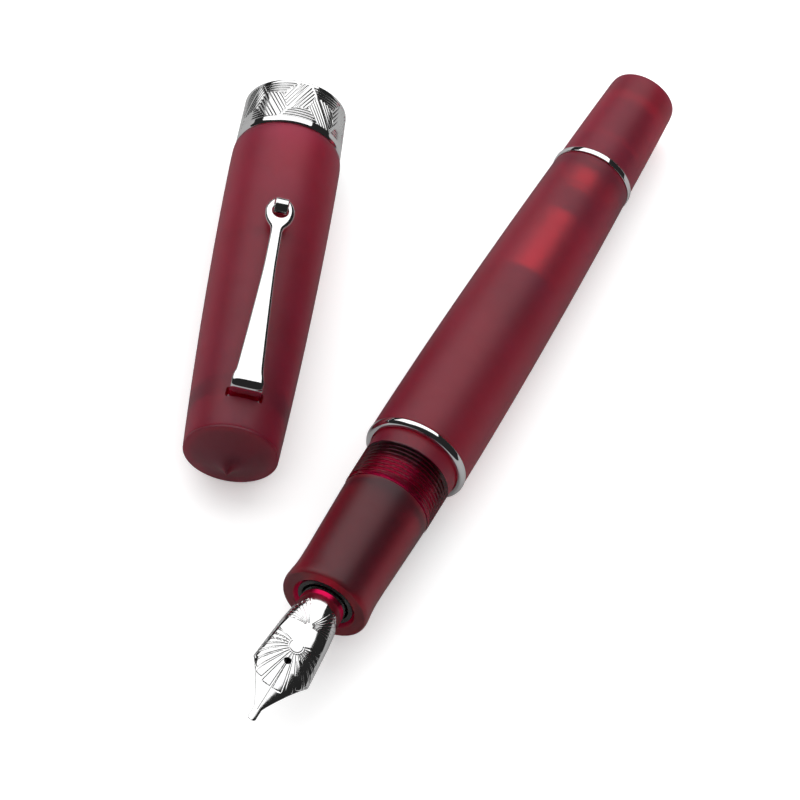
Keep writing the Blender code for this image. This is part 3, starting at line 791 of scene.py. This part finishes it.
band = {
    "shoulder": 7.47, "mouth": 7.25, "top": -52.0, "patternTop": -52.9, "patternEnd": -59.3,
    "triangles": 6, "pitch": 0.43, "cut": 0.085, "border": 0.16, "sides": 720, "rows": 110,
    "meanRadius": 7.35, "start": 1 / 3, "twist": 0.45, "ease": 0.05, "fieldGap": 0.16,
}


def bandEngraving(radius, station, angle):
    # Triangles of parallel lines, each field of a triangle ruled along one of its sides
    height = band["patternTop"] - band["patternEnd"]
    width = 2 * pi * band["meanRadius"] / band["triangles"]
    u = (angle / (2 * pi) * band["triangles"] - band["start"]) % 1.0 * width
    v = station - band["patternEnd"]
    slope = height / (width / 2)
    length = (1 + slope**2) ** 0.5
    # Distances inside the upright triangle, then inside the one hanging beside it
    left = (u * slope - v) / length
    right = ((width - u) * slope - v) / length
    upright = (left > 0) & (right > 0)
    across = np.where(left <= 0, u + width, u) - width / 2
    sideA = np.where(upright, left, (across * slope - (height - v)) / length)
    sideB = np.where(upright, right, ((width - across) * slope - (height - v)) / length)
    sideC = np.where(upright, v, height - v)
    twist = band["twist"]
    fields = np.stack([sideA - twist * sideB, sideB - twist * sideC, sideC - twist * sideA])
    chosen = np.argmin(fields, axis=0)
    distance = np.choose(chosen, [sideA, sideB, sideC])
    ordered = np.sort(fields, axis=0)
    wave = 0.5 - 0.5 * np.cos(2 * pi * (distance - band["border"]) / band["pitch"])
    edge = np.minimum(np.minimum(sideA, sideB), sideC)
    plain = np.clip((edge - band["border"]) / band["ease"], 0, 1)
    plain = plain * np.clip((ordered[1] - ordered[0]) / band["fieldGap"], 0, 1)
    inside = (station < band["patternTop"]) & (station > band["patternEnd"]) & (radius > 7.2)
    return np.where(inside, radius - band["cut"] * wave ** 0.8 * plain, radius)


def makeBand():
    outline = [(7.08, band["top"], 0.03), (7.3, band["top"], 0.05), (band["shoulder"], -52.25, 0.15)]
    for station in steps(-52.6, -59.35, band["rows"]):
        along = (-53.0 - station) / 6.4
        outline.append((band["shoulder"] - 0.22 * max(0.0, along), station))
    outline += [(band["mouth"] - 0.03, cap["mouth"] + 0.12, 0.08),
                (band["mouth"] - 0.16, cap["mouth"], 0.06), (6.7, cap["mouth"], 0.08),
                (6.7, -59.4), (7.08, -59.4)]

    def finishOf(radius, station):
        return int(radius > 7.2 and band["patternEnd"] < station < band["patternTop"])

    mesh = turned("cap_band_chrome", outline, capPlace, sides=band["sides"], carve=bandEngraving,
                  finishOf=finishOf)
    settle("cap_band_chrome", mesh, "cap", ["cap_band"], "chrome", chrome, engravedChrome)


# Clip: a strap swept along its bend, with a forked end that holds the roller. The path is
# (along, out of the cap), and the widths are halves.

clip = {
    "path": [(0, -0.4), (0, 1.2), (0, 1.7), (0.1, 2.12), (0.42, 2.43), (0.95, 2.56), (3, 2.64),
             (7, 2.79), (12, 2.92), (17, 2.93), (22, 2.85), (27, 2.66), (31.4, 2.65)],
    "width": [(-0.8, 2.2), (0.7, 2.2), (1.5, 2.08), (2.2, 1.9), (3.2, 1.8), (5, 1.68), (10, 1.38),
              (16, 1.05), (21, 0.85), (25.4, 0.82), (26.2, 0.86), (26.7, 1.02), (27.2, 1.38),
              (27.8, 1.73), (28.5, 1.96), (29.3, 2.06), (30.0, 1.98), (30.6, 1.76), (31.0, 1.52),
              (31.3, 1.25), (31.4, 1.1)],
    "thick": [(-0.8, 0.88), (2, 0.85), (12, 0.85), (22, 0.9), (27, 1.16), (31.4, 1.2)],
    "edge": 0.34, "square": 0.6, "around": 48, "headAt": 29.3, "throat": 1.22, "gap": 1.06,
    "rollerAt": 30.3, "rollerUp": 2.7, "rollerRadius": 1.32, "rollerHalf": 0.93,
    "pin": 0.22, "pinHole": 0.26, "pinHalf": 1.78,
}


def sweepPath(points, count):
    knots = np.array(points, float)
    reach = np.concatenate([[0], np.cumsum(np.linalg.norm(np.diff(knots, axis=0), axis=1))])
    spots = np.linspace(0, reach[-1], count)
    lean = np.gradient(knots, reach, axis=0)
    cell = np.clip(np.searchsorted(reach, spots) - 1, 0, len(reach) - 2)
    width = (reach[cell + 1] - reach[cell])[:, None]
    t = (spots - reach[cell])[:, None] / width
    return ((2 * t**3 - 3 * t**2 + 1) * knots[cell] + (t**3 - 2 * t**2 + t) * width * lean[cell]
            + (3 * t**2 - 2 * t**3) * knots[cell + 1] + (t**3 - t**2) * width * lean[cell + 1])


def makeClip():
    path = sweepPath(clip["path"], 300)
    tangent = np.gradient(path, axis=0)
    tangent /= np.linalg.norm(tangent, axis=1, keepdims=True)
    up = np.stack([-tangent[:, 1], tangent[:, 0]], 1)
    half = flow(clip["width"], path[:, 0])
    thick = flow(clip["thick"], path[:, 0]) / 2
    around = clip["around"]
    turns = np.arange(around) * 2 * pi / around + pi / around
    # A rounded bar: a superellipse with softer edges than a box
    lateral = np.sign(np.cos(turns)) * np.abs(np.cos(turns)) ** clip["square"]
    rise = np.sign(np.sin(turns)) * np.abs(np.sin(turns)) ** clip["square"]
    corner = np.minimum(clip["edge"] / half, 0.9)
    x = half[:, None] * lateral[None, :]
    offset = thick[:, None] * rise[None, :]
    squeeze = np.abs(lateral)[None, :] ** (1 / corner[:, None])
    offset = offset * (1 - 0.25 * squeeze)
    y = path[:, 0][:, None] + up[:, 0][:, None] * offset
    z = path[:, 1][:, None] + up[:, 1][:, None] * offset
    coords = np.stack([x, y, z], -1).reshape(-1, 3) * mm
    rows = len(path)
    i, j = np.meshgrid(np.arange(rows - 1), np.arange(around), indexing="ij")
    beside = (j + 1) % around
    faces = np.stack([i * around + j, i * around + beside, (i + 1) * around + beside,
                      (i + 1) * around + j], -1).reshape(-1, 4).tolist()
    faces.append(list(range(around)))
    faces.append([(rows - 1) * around + k for k in range(around)])
    mesh = bpy.data.meshes.new("clip_strap")
    mesh.from_pydata(coords.tolist(), [], faces)
    tidyMesh(mesh)
    radius, gap = clip["throat"], clip["gap"]
    throat = [(gap, 34.0)]
    throat += [(radius * cos(a), clip["headAt"] + radius * sin(a))
               for a in steps(acos(gap / radius), -pi / 2 + 0.08, 18)]
    tool = bmesh.new()
    plan = throat + [(-x, y) for x, y in reversed(throat)]
    low = [tool.verts.new((x * mm, y * mm, 0)) for x, y in plan]
    high = [tool.verts.new((x * mm, y * mm, 5 * mm)) for x, y in plan]
    tool.faces.new(low)
    tool.faces.new(list(reversed(high)))
    for k in range(len(plan)):
        m = (k + 1) % len(plan)
        tool.faces.new((low[k], low[m], high[m], high[k]))
    bmesh.ops.recalc_face_normals(tool, faces=tool.faces)
    cutter = bpy.data.meshes.new("tool")
    tool.to_mesh(cutter)
    tool.free()
    across = (Matrix.Translation((0, clip["rollerAt"] * mm, clip["rollerUp"] * mm))
              @ Matrix.Rotation(pi / 2, 4, "Y"))
    hole = clip["pinHole"]
    bore = turned("bore", [(0, 4), (hole, 4), (hole, -4), (0, -4)], across, closed=False, sides=32)
    mesh = combine(mesh, [cutter, bore], sharpness=28)
    mesh.transform(clipPlace)
    settle("clip_strap", mesh, "clip", ["clip"], "chrome", chrome)
    pinRadius, reach = clip["pin"], clip["pinHalf"]
    pin = [(0, reach), (pinRadius, reach, 0.08), (pinRadius, -reach, 0.08), (0, -reach)]
    settle("roller_pin", turned("roller_pin", pin, clipPlace @ across, closed=False, sides=32),
           "clip", ["roller_axle"], "polished_steel", turnedSteel)
    rim, half = clip["rollerRadius"], clip["rollerHalf"]
    wheel = [(0.35, half, 0.03), (rim, half, 0.16), (rim, -half, 0.16), (0.35, -half, 0.03)]
    settle("roller_wheel", turned("roller_wheel", wheel, clipPlace @ across, sides=smallSides),
           "roller", ["clip_roller"], "polished_steel", nibSteel)


def makeClipRing():
    washer = [(2.5, -5.35, 0.05), (5.3, -5.35, 0.08), (5.3, -5.95, 0.08), (2.5, -5.95, 0.05)]
    ring = turned("clip_washer", washer, capPlace, sides=smallSides)
    tab = boxMesh((-2.2, 4.4, -5.9), (2.2, 5.75, -5.4), capPlace, 0.08)
    mesh = combine(ring, [tab], "UNION")
    settle("clip_washer", mesh, "cap", ["clip_ring"], "polished_steel", turnedSteel)


makeCapSleeve()
makeCrown()
makeInnerCap()
makeBand()
print("cap turned and band engraved")
makeClip()
makeClipRing()
print("clip made")


# Floor, lights and camera

studio = {
    "floor": 0.93, "glossFloor": 0.36, "lift": 0.26, "ambient": 0.86, "glossAmbient": 0.02,
    "boxAim": (-0.14, 0.60, 0.79), "boxDistance": 0.8, "boxWidth": 1.35, "boxHeight": 0.9,
    "boxGlow": 1.35,
}
view = {"lens": 266.26, "elevation": 54.532, "azimuth": 0.574, "roll": 9.028,
        "target": (-1.180, 2.875, 0.0), "distance": 823.44}


def makeFloor():
    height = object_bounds()[0][2]
    shape = bmesh.new()
    bmesh.ops.create_grid(shape, x_segments=8, y_segments=8, size=2.0)
    mesh = bpy.data.meshes.new("floor")
    shape.to_mesh(mesh)
    shape.free()
    mesh.transform(Matrix.Translation((0, 0, height)))
    material, tree, shader = newMaterial("floor_white")
    # Glossy rays see a greyer sheet, which keeps the sides of polished pieces dark, and the
    # camera sees it a little lighter, which keeps the shadows soft
    path = tree.nodes.new("ShaderNodeLightPath")
    shade = tree.nodes.new("ShaderNodeMapRange")
    shade.inputs["To Min"].default_value = studio["floor"]
    shade.inputs["To Max"].default_value = studio["glossFloor"]
    tree.links.new(path.outputs["Is Glossy Ray"], shade.inputs["Value"])
    tree.links.new(shade.outputs["Result"], shader.inputs["Base Color"])
    lift = tree.nodes.new("ShaderNodeMath")
    lift.operation = "MULTIPLY"
    lift.inputs[1].default_value = studio["lift"]
    tree.links.new(path.outputs["Is Camera Ray"], lift.inputs[0])
    shader.inputs["Emission Color"].default_value = (1, 1, 1, 1)
    tree.links.new(lift.outputs["Value"], shader.inputs["Emission Strength"])
    shader.inputs["Roughness"].default_value = 0.9
    shader.inputs["Specular IOR Level"].default_value = 0.0
    mesh.materials.append(material)
    floor = bpy.data.objects.new("floor", mesh)
    bpy.context.scene.collection.objects.link(floor)


def makeLights():
    world = bpy.data.worlds.new("studio")
    world.use_nodes = True
    tree = world.node_tree
    background = tree.nodes["Background"]
    background.inputs["Color"].default_value = (1, 1, 1, 1)
    path = tree.nodes.new("ShaderNodeLightPath")
    strength = tree.nodes.new("ShaderNodeMapRange")
    strength.inputs["To Min"].default_value = studio["ambient"]
    strength.inputs["To Max"].default_value = studio["glossAmbient"]
    tree.links.new(path.outputs["Is Glossy Ray"], strength.inputs["Value"])
    tree.links.new(strength.outputs["Result"], background.inputs["Strength"])
    bpy.context.scene.world = world
    aim = Vector(studio["boxAim"]).normalized()
    light = bpy.data.lights.new("softbox", "AREA")
    light.shape = "RECTANGLE"
    light.size = studio["boxWidth"]
    light.size_y = studio["boxHeight"]
    light.energy = studio["boxGlow"] * pi * light.size * light.size_y
    softbox = bpy.data.objects.new("softbox", light)
    softbox.location = aim * studio["boxDistance"]
    softbox.rotation_euler = aim.to_track_quat("Z", "Y").to_euler()
    bpy.context.scene.collection.objects.link(softbox)


def makeCamera():
    data = bpy.data.cameras.new("camera")
    data.lens = view["lens"]
    data.sensor_width = 36.0
    data.clip_end = 10
    camera = bpy.data.objects.new("camera", data)
    turn = (Matrix.Rotation(radians(view["azimuth"]), 4, "Z")
            @ Matrix.Rotation(radians(90 - view["elevation"]), 4, "X")
            @ Matrix.Rotation(radians(view["roll"]), 4, "Z"))
    back = turn @ Vector((0, 0, view["distance"] * mm))
    camera.matrix_world = Matrix.Translation(Vector(view["target"]) * mm + back) @ turn
    bpy.context.scene.collection.objects.link(camera)
    bpy.context.scene.camera = camera


makeFloor()
makeLights()
makeCamera()
scene = bpy.context.scene
scene.view_settings.view_transform = "Standard"
scene.cycles.max_bounces = 16
scene.cycles.transmission_bounces = 16
print("studio set")
